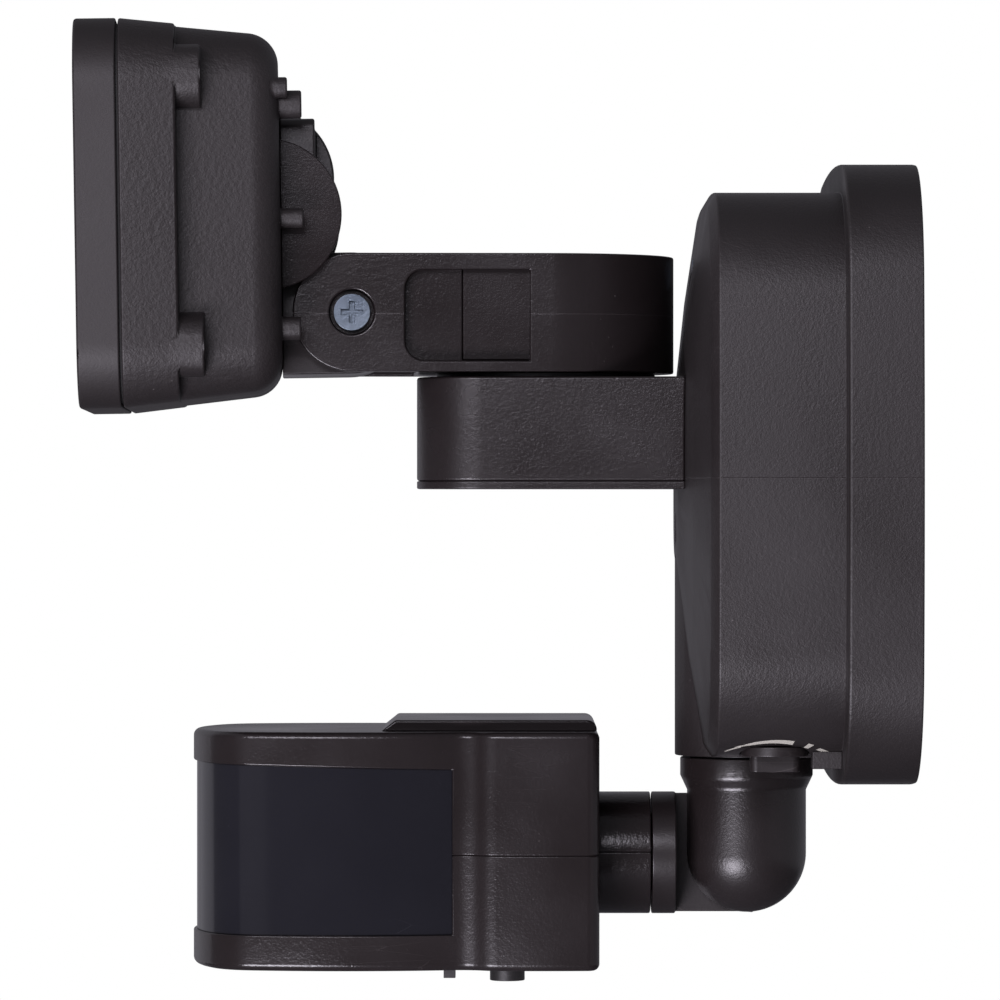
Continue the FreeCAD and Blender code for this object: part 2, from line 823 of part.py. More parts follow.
def bezel():
    outer = frameX(lampFront, bezelBack, lampHalfY, lampHalfZ, lampCorner)
    rim = [e for e in outer.Edges if e.BoundBox.XMax < lampFront + 1e-6]
    outer = outer.makeFillet(bezelRound, rim)
    window = frameX(lampFront - 1, bezelBack, glassHalfY - glassLip, glassHalfZ - glassLip,
                    lampCorner - glassInset - glassLip + 2)
    pocket = frameX(glassFront, bezelBack + 1, glassHalfY + seatGap, glassHalfZ + seatGap,
                    lampCorner - glassInset)
    block = cut(outer, window, pocket)
    for y, z in cornerSpots():
        block = block.cut(rodX(bezelBack - bezelScrewBite - 1, bezelBack + 1, y, z, bezelScrewR))
    return lean(block)


def bezelScrews():
    seat = flangeBack + cornerBossDeep - bezelScrewHead
    length = seat - bezelBack + bezelScrewBite
    return lean(Part.Compound([
        panSeat(seat, y, z, (-1, 0, 0), bezelScrewR, bezelScrewHeadR, bezelScrewHead, length)
        for y, z in cornerSpots()]))


def bezelGasket():
    y = lampHalfY - gasketInset
    z = lampHalfZ - gasketInset
    corner = lampCorner - gasketInset
    ring = frameX(bezelBack, flangeFront, y, z, corner)
    band = gasketBand
    ring = ring.cut(frameX(bezelBack - 1, flangeFront + 1, y - band, z - band, corner - band))
    for a, b in cornerSpots():
        ring = ring.cut(rodX(bezelBack - 1, flangeFront + 1, a, b, bezelScrewR + boreOver))
    return lean(ring)


def frontGlass():
    return lean(frameX(glassFront, glassBack, glassHalfY, glassHalfZ, lampCorner - glassInset))


def reflector():
    y0 = glassHalfY - glassLip
    z0 = glassHalfZ - glassLip
    wide = taperX(glassBack, y0 + reflectorThick, z0 + reflectorThick, 6, ledBoardFront,
                  reflectorHalfY + reflectorThick, reflectorHalfZ + reflectorThick, 6)
    open_ = taperX(glassBack, y0, z0, 5, ledBoardFront, reflectorHalfY, reflectorHalfZ, 5)
    rim = frameX(glassBack, glassBack + reflectorThick, glassHalfY, glassHalfZ, lampCorner - glassInset)
    return lean(fuse(wide, rim).cut(open_))


def heatPlate():
    gap = flangeWide + seatGap
    return lean(frameX(heatPlateFront, plateBack, lampHalfY - gap, lampHalfZ - gap, lampCorner - gap))


def ledBoard():
    return lean(frameX(ledBoardFront, heatPlateFront, reflectorHalfY + 4, reflectorHalfZ + 4, 3))


def ledChips():
    chips = []
    for row in range(chipRows):
        for column in range(chipColumns):
            y = (column - (chipColumns - 1) / 2) * chipPitchY
            z = lampZ + (row - (chipRows - 1) / 2) * chipPitchZ
            half = chipSide / 2
            chips.append(box(ledBoardFront - chipHigh, ledBoardFront, y - half, y + half, z - half, z + half))
    return lean(Part.Compound(chips))


def aheadOfBody():
    """The space in front of the body's back face, to trim what sits on that face."""
    tall = 2 * lampHalfZ
    return box(lampFront, bodyBack, -lampHalfY, lampHalfY, lampZ - tall, lampZ + tall)


def driverBoard():
    back = bodyBack - backWall - driverFootHigh
    front = back - boardThick
    half = lampHalfY - driverBoardInset
    board = box(front, back, -half, half, lampZ - driverBoardHalfZ, lampZ + driverBoardHalfZ)
    coil = box(front - coilHigh, front, coilMidY - coilHalf, coilMidY + coilHalf,
               lampZ - coilHalf, lampZ + coilHalf)
    capacitor = rodX(front - coilHigh, front, driverCapY, lampZ, driverCapR)
    footY = half - driverFootInset
    footZ = lampZ - driverBoardHalfZ + driverFootInset
    feet = [rodX(back, back + driverFootHigh, y, footZ, driverFootR) for y in (-footY, footY)]
    return lean(fuse(board, coil, capacitor, *feet))


def driverCover():
    high = prismX(bodyBack, driverRight, driverHalf, (driverTop - driverBottom) / 2, coverRound, coverMidZ)
    barrel = rodY(-barrelHalf, barrelHalf, barrelX, barrelZ, barrelR)
    inner = prismX(bodyBack - 1, driverRight - coverWall, driverHalf - coverWall,
                   (driverTop - driverBottom) / 2 - coverWall, 1.0, coverMidZ)
    innerBarrel = rodY(-barrelHalf + coverWall, barrelHalf - coverWall, barrelX, barrelZ, barrelR - coverWall)
    return lean(cut(fuse(high, barrel), aheadOfBody(), inner, innerBarrel))


def sideDiscs():
    near = rodY(-discIn - discThick, -discIn, discX, discZ, discR).cut(aheadOfBody())
    return lean(Part.Compound([near, mirrored(near)]))


def lampKnuckle():
    half = cheekIn - turnGap
    block = box(bodyBack, screwX, -half, half, screwZ - tongueR, screwZ + tongueR)
    block = fuse(block, rodY(-half, half, screwX, screwZ, tongueR))
    block = block.cut(rodY(-half - 1, half + 1, screwX, screwZ, screwR + pinGap))
    return lean(block)


# ---- elbow under the canopy ----
collarTop = -drumHalf - collarGap
nutFloor = elbowFloor + faceGap


def elbow():
    collar = rodZ(collarBottom, collarTop, elbowX, 0, collarR)
    cone = Part.makeCone(elbowR, collarR, collarBottom - coneBottom, Vec(elbowX, 0, coneBottom))
    body = rodZ(ballZ, collarBottom, elbowX, 0, elbowR)
    ball = Part.makeSphere(elbowR, Vec(elbowX, 0, ballZ))
    spigot = rodZ(collarTop, spigotTop, elbowX, 0, spigotR)
    whole = fuse(collar, cone, body, ball, spigot)
    reach = 2 * elbowR
    flat = box(elbowX - reach, elbowX + reach, knuckleSplit, reach, ballZ - reach, ballZ + elbowR + turnGap)
    groove = rodZ(collarTop - sealHigh, collarTop + 1, elbowX, 0, sealOutR).cut(
        rodZ(collarTop - sealHigh - 1, collarTop + 2, elbowX, 0, sealInR))
    bore = rodZ(ballZ + elbowR + 3, spigotTop + 1, elbowX, 0, spigotBoreR)
    return cut(
        whole, flat, groove, bore,
        rodY(kneeTip, knuckleSplit + 1, elbowX, ballZ, kneeScrewR),
    )


def elbowSeal():
    ring = rodZ(collarTop - sealHigh, collarTop + collarGap - faceGap, elbowX, 0, sealOutR - seatGap)
    return ring.cut(rodZ(collarTop - 3, collarTop + 3, elbowX, 0, sealInR + seatGap))


def elbowNut():
    ring = rodZ(nutFloor, nutFloor + elbowNutHigh, elbowX, 0, elbowNutR)
    for turn in range(6):
        notch = box(elbowNutR - 1.2, elbowNutR + 1, -1.5, 1.5, nutFloor - 1, nutFloor + elbowNutHigh + 1)
        notch.rotate(Vec(0, 0, 0), zAxis, 60 * turn)
        notch.translate(Vec(elbowX, 0, 0))
        ring = ring.cut(notch)
    return ring.cut(rodZ(nutFloor - 1, nutFloor + elbowNutHigh + 1, elbowX, 0, spigotR))


# ---- sensor knuckle ----
def sensorKnuckle():
    quarter = rodX(collarRight - 1, elbowX + elbowR, 0, ballZ, elbowR)
    reach = 2 * elbowR
    side = box(collarRight - 1, elbowX + reach, knuckleFace, reach, ballZ - reach, ballZ + reach)
    quarter = quarter.common(side)
    tip = fuse(box(collarRight - 1, elbowX, 0, reach, ballZ - reach, ballZ + reach),
               rodY(0, reach, elbowX, ballZ, elbowR))
    tongue = quarter.common(tip)
    collar = rodX(collarLeft, collarRight, 0, ballZ, neckR)
    pin = rodX(collarLeft - neckPinLong - neckLength, collarLeft, 0, ballZ, neckPinR)
    whole = fuse(tongue, collar, pin)
    wellFloor = elbowR - kneeWell
    return cut(
        whole,
        rodX(collarLeft - neckLength - neckPinLong - 1, collarRight - 2.0, 0, ballZ, spigotBoreR),
        rodY(0, reach, elbowX, ballZ, kneeScrewR + pinGap),
        rodY(wellFloor, reach, elbowX, ballZ, kneeHeadR + turnGap),
    )


def kneeScrew():
    return panSeat(elbowX, elbowR - kneeWell + faceGap, ballZ, (0, -1, 0), kneeScrewR, kneeHeadR, kneeHead,
                   elbowR - kneeWell + faceGap - kneeTip)


def neckClip():
    x1 = sensorBack - sensorWall - faceGap
    disc = rodX(x1 - neckClipHigh, x1, 0, ballZ, neckClipR)
    return disc.cut(rodX(x1 - neckClipHigh - 1, x1 + 1, 0, ballZ, neckPinR))


# ---- sensor head ----
neckBack = collarLeft - turnGap


def sideNormal(angle):
    """Outward on the near side in plan: 0 degrees at the nose, 90 at the side, 180 at the back."""
    turn = math.radians(angle)
    return Vec(-math.cos(turn), -math.sin(turn), 0)


def sideAlong(angle):
    turn = math.radians(angle)
    return Vec(math.sin(turn), -math.cos(turn), 0)


def planArcs():
    """The near side of the sensor head in plan, all tangent: centre, radius, first and last angle.
    A negative radius is a hollow arc."""
    noseMid = Vec(sensorNose + noseR, 0, 0)
    cheekMid = Vec(cheekX, cheekR - sensorHalf, 0)
    apart = cheekMid - noseMid
    reachNose = noseR - noseCorner
    reachCheek = cheekR - noseCorner
    along = (reachNose ** 2 - reachCheek ** 2 + apart.Length ** 2) / (2 * apart.Length)
    aside = math.sqrt(reachNose ** 2 - along ** 2)
    unit = Vec(apart).normalize()
    cornerMid = noseMid + unit * along + Vec(-unit.y, unit.x, 0) * aside
    toNose = cornerMid - noseMid
    toCheek = cornerMid - cheekMid
    noseEnd = math.degrees(math.atan2(-toNose.y, -toNose.x))
    cheekStart = math.degrees(math.atan2(-toCheek.y, -toCheek.x))
    cheekEnd = 90 + math.degrees(math.asin((flareFront - cheekX) / cheekR))
    arcs = [
        (noseMid, noseR, 0, noseEnd),
        (cornerMid, noseCorner, noseEnd, cheekStart),
        (cheekMid, cheekR, cheekStart, cheekEnd),
    ]
    spot = cheekMid + sideNormal(cheekEnd) * cheekR
    flareMid = spot + sideNormal(cheekEnd) * flareR
    slope = 90 - flareAngle
    arcs.append((flareMid, -flareR, cheekEnd, slope))
    spot = flareMid - sideNormal(slope) * flareR + sideAlong(slope) * flareLine
    roundMid = spot - sideNormal(slope) * flareR
    arcs.append((roundMid, flareR, slope, 90 - backBow))
    spot = roundMid + sideNormal(90 - backBow) * flareR
    lean = math.sin(math.radians(backBow))
    bowR = (sensorBack - sensorRearCorner * (1 - lean) - spot.x) / (2 * lean)
    bowMid = spot - sideNormal(90 - backBow) * bowR
    arcs.append((bowMid, bowR, 90 - backBow, 90 + backBow))
    spot = bowMid + sideNormal(90 + backBow) * bowR
    arcs.append((spot - sideNormal(90 + backBow) * sensorRearCorner, sensorRearCorner, 90 + backBow, 180))
    return arcs


def planWire(z, inset):
    """The sensor head's outline in plan, inset by a wall."""
    up = Vec(0, 0, z)
    near = []
    for middle, radius, start, end in planArcs():
        reach = radius - inset
        spots = [middle + sideNormal(angle) * reach + up for angle in (start, (start + end) / 2, end)]
        if near and (near[-1][-1] - spots[0]).Length > 1e-6:
            near.append((near[-1][-1], spots[0]))
        near.append(spots)
    edges = []
    for spots in near:
        for side in (1, -1):
            points = [Vec(spot.x, side * spot.y, spot.z) for spot in spots]
            edges.append(Part.Arc(*points) if len(points) == 3 else Part.LineSegment(*points))
    last = near[-1][-1]
    edges.append(Part.LineSegment(last, Vec(last.x, -last.y, last.z)))
    return Part.Wire(Part.__sortEdges__([edge.toShape() for edge in edges]))


def planPrism(z0, z1, inset):
    return Part.Face(planWire(z0, inset)).extrude(Vec(0, 0, z1 - z0))


def lensBand(inset):
    """The head's outline between the lens's lower edge and its rising upper edge."""
    front = sensorNose - noseCorner
    slope = lensRise / (lensEdge - sensorNose)
    side = 2 * sensorHalf
    corners = [
        Vec(lensEdge, -side, lensBottom),
        Vec(lensEdge, -side, lensTop),
        Vec(front, -side, lensTop + slope * (lensEdge - front)),
        Vec(front, -side, lensBottom),
        Vec(lensEdge, -side, lensBottom),
    ]
    band = Part.Face(Part.makePolygon(corners)).extrude(Vec(0, 2 * side, 0))
    return planPrism(lensBottom, lensTop + noseCorner, inset).common(band)


def screwPosts(z0, z1, radius):
    return [rodZ(z0, z1, shellScrewX, y, radius) for y in (-shellScrewY, shellScrewY)]


def hollowShell(shell, rim, z0, z1, room):
    """One half of the head: its rim rounded, hollowed, and open for the lens and the neck."""
    shell = shell.makeFillet(sensorEdge, rim)
    side = box(sensorNose, 0, -sensorHalf, sensorHalf, z0, z1)
    neck = rodX(sensorBack - 1, neckBack, 0, ballZ, neckR).common(side)
    shell = shell.fuse(neck).cut(room)
    bore = rodX(sensorBack - sensorWall - 1, neckBack + 1, 0, ballZ, neckPinR + pinGap)
    return cut(shell, lensBand(-1), bore)


def upperShell():
    shell = planPrism(sensorSplit, sensorTop, 0)
    rim = [e for e in shell.Edges if e.BoundBox.ZMin > sensorTop - 1e-6]
    room = planPrism(sensorSplit - 1, sensorTop - sensorWall, sensorWall)
    shell = hollowShell(shell, rim, sensorSplit, sensorTop, room)
    posts = screwPosts(sensorSplit, sensorTop - sensorWall / 2, shellPostR)
    shell = fuse(shell, *posts)
    return cut(shell, *screwPosts(sensorSplit - 1, sensorSplit + 12, shellScrewR))


def lowerShell():
    shell = planPrism(sensorBottom, sensorSplit, 0)
    rim = [e for e in shell.Edges if e.BoundBox.ZMax < sensorBottom + 1e-6]
    room = planPrism(sensorBottom + sensorWall, sensorSplit + 1, sensorWall)
    shell = hollowShell(shell, rim, sensorBottom, sensorSplit, room)
    posts = screwPosts(sensorBottom + sensorWall / 2, sensorSplit, shellPostR)
    shell = fuse(shell, *posts)
    knobBoss = rodZ(sensorBottom + sensorWall / 2, sensorBottom + sensorWall + 2, knobX, knobY, knobR)
    shell = shell.fuse(knobBoss)
    halfX = sliderStem / 2
    slot = box(sliderX - halfX - turnGap, sliderX + halfX + turnGap, knobY - sliderTravel - sliderHalfY,
               knobY + sliderTravel + sliderHalfY, sensorBottom - 1, sensorBottom + sensorWall + 1)
    return cut(
        shell,
        *screwPosts(sensorBottom - 1, sensorSplit + 1, shellScrewR + boreOver),
        *screwPosts(sensorBottom - 1, sensorBottom + shellScrewWell, shellScrewHeadR + boreOver),
        rodZ(sensorBottom - 1, sensorBottom + 9, knobX, knobY, knobShaftR + pinGap),
        slot,
    ).removeSplitter()


def shellScrews():
    z = sensorBottom + shellScrewWell
    reach = sensorSplit - z + 10
    return Part.Compound([
        panSeat(shellScrewX, y, z, (0, 0, 1), shellScrewR, shellScrewHeadR, shellScrewHead, reach)
        for y in (-shellScrewY, shellScrewY)])


def topCover():
    z1 = sensorTop + coverHigh
    y = -coverHalf
    half = coverRearR * (1 - math.sqrt(0.5))
    lines = [
        (Vec(coverBack, y, sensorTop), Vec(coverFront, y, sensorTop)),
        (Vec(coverFront, y, sensorTop), Vec(coverFront + coverSlope, y, z1)),
        (Vec(coverFront + coverSlope, y, z1), Vec(coverBack - coverRearR, y, z1)),
        (Vec(coverBack, y, z1 - coverRearR), Vec(coverBack, y, sensorTop)),
    ]
    edges = [Part.LineSegment(*ends).toShape() for ends in lines]
    edges.append(Part.Arc(Vec(coverBack - coverRearR, y, z1), Vec(coverBack - half, y, z1 - half),
                          Vec(coverBack, y, z1 - coverRearR)).toShape())
    plate = Part.Face(Part.Wire(Part.__sortEdges__(edges))).extrude(Vec(0, 2 * coverHalf, 0))
    rims = [e for e in plate.Edges if e.BoundBox.YLength < 1e-6 and e.BoundBox.ZMax > sensorTop + 1e-6]
    return plate.makeFillet(coverEdge, rims)


def pirLens():
    return lensBand(lensSet).cut(planPrism(lensBottom - 1, lensTop + noseCorner, lensSet + lensThick))


def pirBoard():
    back = pirBoardFront + boardThick
    board = box(pirBoardFront, back, -pirBoardHalf, pirBoardHalf,
                sensorBottom + sensorWall, sensorTop - sensorWall)
    chip = box(back, back + pirChipHigh, -pirChipHalf, pirChipHalf, pirChipZ, pirChipZ + pirChipTall)
    timer = rodX(back, back + pirTimerHigh, pirTimerY, pirTimerZ, pirTimerR)
    return fuse(board, chip, timer)


def pirElement():
    can = rodX(pirBoardFront - pirHigh, pirBoardFront, 0, pirMidZ, pirR)
    return can.fuse(rodX(pirBoardFront - 0.4, pirBoardFront, 0, pirMidZ, pirR + 0.5))


def rangeKnob():
    z1 = sensorBottom - faceGap
    cap = rodZ(z1 - knobHigh, z1, knobX, knobY, knobR)
    slotHalf = knobR * 0.7
    slot = box(knobX - slotHalf, knobX + slotHalf, knobY - 0.5, knobY + 0.5,
               z1 - knobHigh - 1, z1 - knobHigh + 1)
    return fuse(cap.cut(slot), rodZ(z1, sensorBottom + knobShaftLong, knobX, knobY, knobShaftR))


def modeSlider():
    z1 = sensorBottom - faceGap
    tab = box(sliderX - sliderHalfX, sliderX + sliderHalfX, knobY - sliderHalfY, knobY + sliderHalfY,
              z1 - sliderHigh, z1)
    stem = box(sliderX - sliderHalfX, sliderX + sliderHalfX, knobY - sliderHalfY + turnGap,
               knobY + sliderHalfY - turnGap, z1, sensorBottom + sensorWall + faceGap)
    foot = box(sliderX - sliderStem, sliderX + sliderStem, knobY - sliderHalfY, knobY + sliderHalfY,
               sensorBottom + sensorWall + faceGap, sensorBottom + sensorWall + faceGap + sliderFoot)
    return fuse(tab, stem, foot)


os.makedirs("parts", exist_ok=True)
pieces = {
    "canopy_shell": canopyShell, "back_plate": backPlate, "wall_gasket": wallGasket,
    "wire_grommet": wireGrommet, "canopy_screws": canopyScrews, "control_board": controlBoard,
    "selector_switch": selectorSwitch, "catch_tab": catchTab, "dial_knob": dialKnob,
    "low_arm": lowArm, "low_arm_cover": lowArmCover, "cover_screws": coverScrews,
    "arm_screws": armScrews, "swivel_bolt": swivelBolt, "swivel_nut": swivelNut,
    "swivel_washer": swivelWasher, "swivel_arm": swivelArm, "arm_core": armCore,
    "tilt_screw": tiltScrew, "tilt_nut": tiltNut, "lamp_housing": lampHousing,
    "lamp_bezel": bezel, "bezel_screws": bezelScrews, "bezel_gasket": bezelGasket,
    "front_glass": frontGlass, "reflector": reflector, "heat_plate": heatPlate,
    "led_board": ledBoard, "led_chips": ledChips, "driver_board": driverBoard,
    "driver_cover": driverCover, "side_discs": sideDiscs, "lamp_knuckle": lampKnuckle,
    "elbow": elbow, "elbow_seal": elbowSeal, "elbow_nut": elbowNut, "sensor_knuckle": sensorKnuckle,
    "knee_screw": kneeScrew, "neck_clip": neckClip, "sensor_upper": upperShell,
    "sensor_lower": lowerShell, "shell_screws": shellScrews, "sensor_cover": topCover,
    "pir_lens": pirLens, "pir_board": pirBoard, "pir_element": pirElement,
    "range_knob": rangeKnob, "mode_slider": modeSlider,
}
turned = (
    "swivel_arm", "arm_core", "tilt_screw", "tilt_nut", "lamp_housing", "lamp_bezel", "bezel_screws",
    "bezel_gasket", "front_glass", "reflector", "heat_plate", "led_board", "led_chips", "driver_board",
    "driver_cover", "side_discs", "lamp_knuckle",
)
for name, make in pieces.items():
    piece = make()
    if name in turned:
        piece.rotate(Vec(pivotX, 0, 0), zAxis, armTurn)
    save(name, piece)
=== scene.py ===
import json
import math

import bmesh
import bpy
from mathutils import Matrix, Vector
from mathutils.bvhtree import BVHTree


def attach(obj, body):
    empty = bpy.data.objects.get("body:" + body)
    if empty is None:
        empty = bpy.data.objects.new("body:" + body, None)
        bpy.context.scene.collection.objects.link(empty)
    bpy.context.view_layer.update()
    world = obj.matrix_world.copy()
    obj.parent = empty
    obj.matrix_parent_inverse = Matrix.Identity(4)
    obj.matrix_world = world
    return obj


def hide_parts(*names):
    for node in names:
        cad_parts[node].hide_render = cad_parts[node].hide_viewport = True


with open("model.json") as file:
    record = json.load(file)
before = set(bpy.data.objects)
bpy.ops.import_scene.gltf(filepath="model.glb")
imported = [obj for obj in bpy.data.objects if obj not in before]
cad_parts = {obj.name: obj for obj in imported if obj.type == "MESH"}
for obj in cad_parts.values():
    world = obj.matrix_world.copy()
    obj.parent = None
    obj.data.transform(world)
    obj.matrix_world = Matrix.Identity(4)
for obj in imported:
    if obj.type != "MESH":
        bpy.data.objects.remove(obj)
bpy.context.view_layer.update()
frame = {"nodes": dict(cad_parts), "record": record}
bodyOf = {n: b for b, names in frame["record"]["behaviour"]["bodies"].items() for n in names}
slotOf = {s["node"]: s["material_slot"] for s in frame["record"]["subparts"]}
print("frame loaded:", len(frame["nodes"]), "parts")

studio = {
    "cameraPlace": (-0.0889, -1.330, -0.0055),
    "lens": 217.3,
    "floorHeight": -0.5,
    "floorSize": 2.4,
    # levels of the soft surroundings: behind the camera, left, right, above, below, and the rear
    "dim": 0.15,
    "leftLevel": 0.34,
    "rightLevel": 0.32,
    "topLevel": 0.20,
    "lowLevel": 0.11,
    "rearLevel": 0.25,
    "tint": (0.98, 0.95, 1.06, 1),
    "lampTint": (1.0, 0.95, 1.06),
    "floorGlow": 0.16,
    "floorMirror": (0.22, 0.22, 0.23, 1),
}
lamps = {
    "highSoft": {"place": (-0.34, -0.80, 0.30), "aim": (-0.09, 0, 0.0), "size": (0.5, 0.22), "power": 4.2},
    "lowSoft": {"place": (-0.36, -0.56, -0.37), "aim": (-0.11, 0, -0.02), "size": (0.34, 0.2), "power": 5.0},
}


def addNode(tree, kind, inputs=None, **settings):
    made = tree.nodes.new(kind)
    for key, value in settings.items():
        setattr(made, key, value)
    for key, value in (inputs or {}).items():
        if isinstance(value, bpy.types.NodeSocket):
            tree.links.new(value, made.inputs[key])
        else:
            made.inputs[key].default_value = value
    return made


def buildStudio():
    scene = bpy.context.scene
    scene.view_settings.view_transform = "Standard"
    cam = bpy.data.objects.new("camera", bpy.data.cameras.new("camera"))
    cam.location = studio["cameraPlace"]
    cam.rotation_euler = (math.pi / 2, 0, 0)
    cam.data.lens = studio["lens"]
    cam.data.sensor_width = 36
    cam.data.clip_start, cam.data.clip_end = 0.05, 20
    scene.collection.objects.link(cam)
    scene.camera = cam
    for name, l in lamps.items():
        data = bpy.data.lights.new(name, "AREA")
        data.shape = "RECTANGLE"
        data.size, data.size_y = l["size"]
        data.energy = l["power"]
        data.color = studio["lampTint"]
        lamp = bpy.data.objects.new(name, data)
        lamp.location = l["place"]
        aim = Vector(l["aim"]) - Vector(l["place"])
        lamp.rotation_euler = aim.to_track_quat("-Z", "Y").to_euler()
        lamp.visible_camera = False
        scene.collection.objects.link(lamp)

    world = bpy.data.worlds.new("studioWorld")
    world.use_nodes = True
    scene.world = world
    tree = world.node_tree
    tree.nodes.clear()
    path = addNode(tree, "ShaderNodeLightPath")
    seen = addNode(tree, "ShaderNodeMath", {0: path.outputs["Is Camera Ray"],
                                            1: path.outputs["Is Transmission Ray"]}, operation="MAXIMUM")
    where = addNode(tree, "ShaderNodeTexCoord")
    parts = addNode(tree, "ShaderNodeSeparateXYZ", {0: where.outputs["Generated"]})

    def zone(source, start, end, level):
        made = addNode(tree, "ShaderNodeMapRange", {0: source, 1: start, 2: end, 3: 0.0, 4: level},
                       interpolation_type="SMOOTHSTEP")
        return made.outputs[0]

    def combine(a, b, operation):
        return addNode(tree, "ShaderNodeMath", {0: a, 1: b}, operation=operation).outputs[0]

    left = combine(zone(parts.outputs["X"], -0.36, -0.42, studio["leftLevel"]),
                   zone(parts.outputs["X"], -0.90, -0.72, 1.0), "MULTIPLY")
    glow = combine(left, zone(parts.outputs["X"], 0.60, 0.66, studio["rightLevel"]), "MAXIMUM")
    glow = combine(glow, zone(parts.outputs["Z"], 0.42, 0.62, studio["topLevel"]), "MAXIMUM")
    glow = combine(glow, zone(parts.outputs["Y"], 0.40, 0.80, studio["rearLevel"]), "MAXIMUM")
    low = combine(zone(parts.outputs["Z"], -0.30, -0.42, studio["lowLevel"]),
                  zone(parts.outputs["Z"], -0.80, -0.60, 1.0), "MULTIPLY")
    glow = combine(combine(glow, low, "MAXIMUM"), studio["dim"], "MAXIMUM")
    soft = addNode(tree, "ShaderNodeBackground", {"Color": studio["tint"], "Strength": glow})
    white = addNode(tree, "ShaderNodeBackground", {"Color": (1, 1, 1, 1), "Strength": 1.0})
    mix = addNode(tree, "ShaderNodeMixShader", {0: seen.outputs[0], 1: soft.outputs[0], 2: white.outputs[0]})
    addNode(tree, "ShaderNodeOutputWorld", {0: mix.outputs[0]})

    bm = bmesh.new()
    bmesh.ops.create_grid(bm, x_segments=1, y_segments=1, size=studio["floorSize"] / 2)
    bmesh.ops.translate(bm, verts=bm.verts, vec=(0, 0, studio["floorHeight"]))
    mesh = bpy.data.meshes.new("floor")
    bm.to_mesh(mesh)
    bm.free()
    floor = bpy.data.objects.new("floor", mesh)
    scene.collection.objects.link(floor)
    paper = bpy.data.materials.new("paper")
    paper.use_nodes = True
    tree = paper.node_tree
    tree.nodes.clear()
    path = addNode(tree, "ShaderNodeLightPath")
    matt = addNode(tree, "ShaderNodeBsdfDiffuse", {"Color": (0.86, 0.86, 0.86, 1)})
    glow = addNode(tree, "ShaderNodeEmission", {"Color": (1, 1, 1, 1), "Strength": studio["floorGlow"]})
    both = addNode(tree, "ShaderNodeAddShader", {0: matt.outputs[0], 1: glow.outputs[0]})
    dull = addNode(tree, "ShaderNodeBsdfDiffuse", {"Color": studio["floorMirror"]})
    mirror = addNode(tree, "ShaderNodeMixShader", {0: path.outputs["Is Glossy Ray"], 1: matt.outputs[0],
                                                   2: dull.outputs[0]})
    mix = addNode(tree, "ShaderNodeMixShader", {0: path.outputs["Is Camera Ray"], 1: mirror.outputs[0],
                                                2: both.outputs[0]})
    addNode(tree, "ShaderNodeOutputMaterial", {0: mix.outputs[0]})
    mesh.materials.append(paper)
    print("studio ready")


buildStudio()


def startGroup(name, ins, outs):
    group = bpy.data.node_groups.new(name, "ShaderNodeTree")
    for label, kind, value in ins:
        made = group.interface.new_socket(label, in_out="INPUT", socket_type=kind)
        if value is not None:
            made.default_value = value
    for label, kind in outs:
        group.interface.new_socket(label, in_out="OUTPUT", socket_type=kind)
    return group, group.nodes.new("NodeGroupInput"), group.nodes.new("NodeGroupOutput")


def mouldGrainGroup():
    # fine moulded texture: two sizes of grain, and a slow change of tone
    group, given, out = startGroup("mouldGrain", [("Vector", "NodeSocketVector", None),
                                                  ("Grain", "NodeSocketFloat", 1800.0),
                                                  ("Coarse", "NodeSocketFloat", 0.5)],
                                   [("Height", "NodeSocketFloat"), ("Tone", "NodeSocketFloat")])
    fine = addNode(group, "ShaderNodeTexNoise", {"Vector": given.outputs[0], "Scale": given.outputs[1],
                                                 "Detail": 2.0, "Roughness": 0.6})
    broad = addNode(group, "ShaderNodeMath", {0: given.outputs[1], 1: 0.42}, operation="MULTIPLY")
    coarse = addNode(group, "ShaderNodeTexVoronoi", {"Vector": given.outputs[0], "Scale": broad.outputs[0]},
                     feature="SMOOTH_F1")
    part = addNode(group, "ShaderNodeMath", {0: coarse.outputs["Distance"], 1: given.outputs[2]}, operation="MULTIPLY")
    height = addNode(group, "ShaderNodeMath", {0: fine.outputs[0], 1: part.outputs[0]}, operation="ADD")
    slow = addNode(group, "ShaderNodeTexNoise", {"Vector": given.outputs[0], "Scale": 34.0, "Detail": 3.0})
    tone = addNode(group, "ShaderNodeMapRange", {0: slow.outputs[0], 1: 0.3, 2: 0.7})
    group.links.new(height.outputs[0], out.inputs[0])
    group.links.new(tone.outputs[0], out.inputs[1])
    return group


def seamGroup():
    # a mould line where the distance along an axis is near a place
    group, given, out = startGroup("mouldLine", [("Vector", "NodeSocketVector", None),
                                                 ("Axis", "NodeSocketVector", (0, 0, 1)),
                                                 ("Place", "NodeSocketFloat", 0.0),
                                                 ("Width", "NodeSocketFloat", 0.00012)],
                                   [("Mask", "NodeSocketFloat")])
    along = addNode(group, "ShaderNodeVectorMath", {0: given.outputs[0], 1: given.outputs[1]}, operation="DOT_PRODUCT")
    wander = addNode(group, "ShaderNodeTexNoise", {"Vector": given.outputs[0], "Scale": 60.0})
    drift = addNode(group, "ShaderNodeMath", {0: wander.outputs[0], 1: 0.00012, 2: -0.00006}, operation="MULTIPLY_ADD")
    moved = addNode(group, "ShaderNodeMath", {0: along.outputs["Value"], 1: drift.outputs[0]}, operation="ADD")
    gap = addNode(group, "ShaderNodeMath", {0: moved.outputs[0], 1: given.outputs[2]}, operation="SUBTRACT")
    size = addNode(group, "ShaderNodeMath", {0: gap.outputs[0]}, operation="ABSOLUTE")
    mask = addNode(group, "ShaderNodeMapRange", {0: size.outputs[0], 1: 0.0, 2: given.outputs[3], 3: 1.0, 4: 0.0},
                   interpolation_type="SMOOTHSTEP")
    group.links.new(mask.outputs[0], out.inputs[0])
    return group


